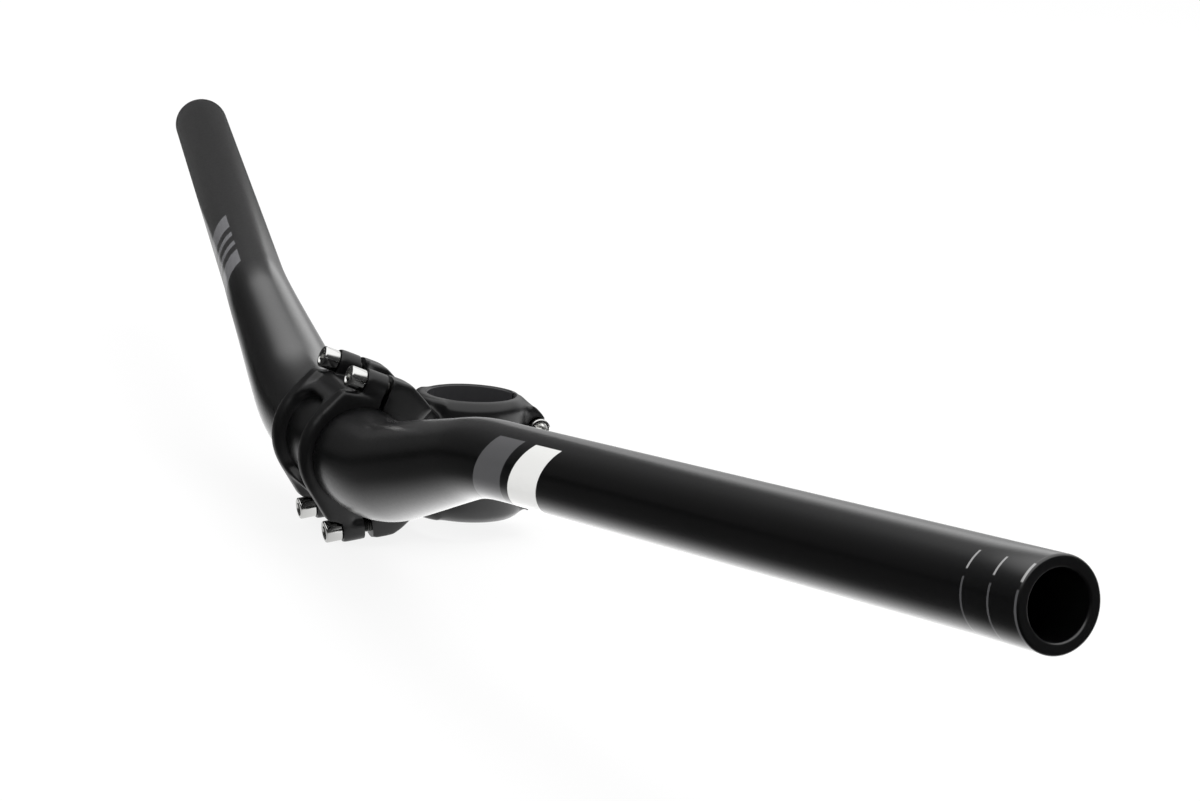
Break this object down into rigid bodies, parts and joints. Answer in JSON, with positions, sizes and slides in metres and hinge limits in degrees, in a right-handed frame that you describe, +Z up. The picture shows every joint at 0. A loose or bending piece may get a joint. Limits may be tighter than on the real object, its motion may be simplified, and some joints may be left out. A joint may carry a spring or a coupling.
{
  "type": "riser handlebar with stem",
  "caption": "Wide riser handlebar with back-swept, up-swept ends, held in a short stem by a windowed faceplate; the stem clamps onto a steerer tube.",
  "frame": {"origin": "on the steerer axis, at the middle of the height of the steerer clamp", "axes": "+Z up the steerer axis, -Y forwards to the bar clamp, +X along the bar to the rider's left"},
  "size_m": [0.8036, 0.085, 0.0927],
  "materials": {
    "bar_carbon": "satin black lacquer over carbon-fibre laminate",
    "stem_black": "matt black anodised",
    "bolt_steel": "polished"
  },
  "bodies": {
    "root": {"handlebar": "bar_carbon", "stem_body": "stem_black", "faceplate": "stem_black", "faceplate_bolt_upper_left": "bolt_steel", "faceplate_bolt_upper_right": "bolt_steel", "faceplate_bolt_lower_left": "bolt_steel", "faceplate_bolt_lower_right": "bolt_steel", "pinch_bolt_upper": "bolt_steel", "pinch_bolt_lower": "bolt_steel"}
  },
  "joints": []
}
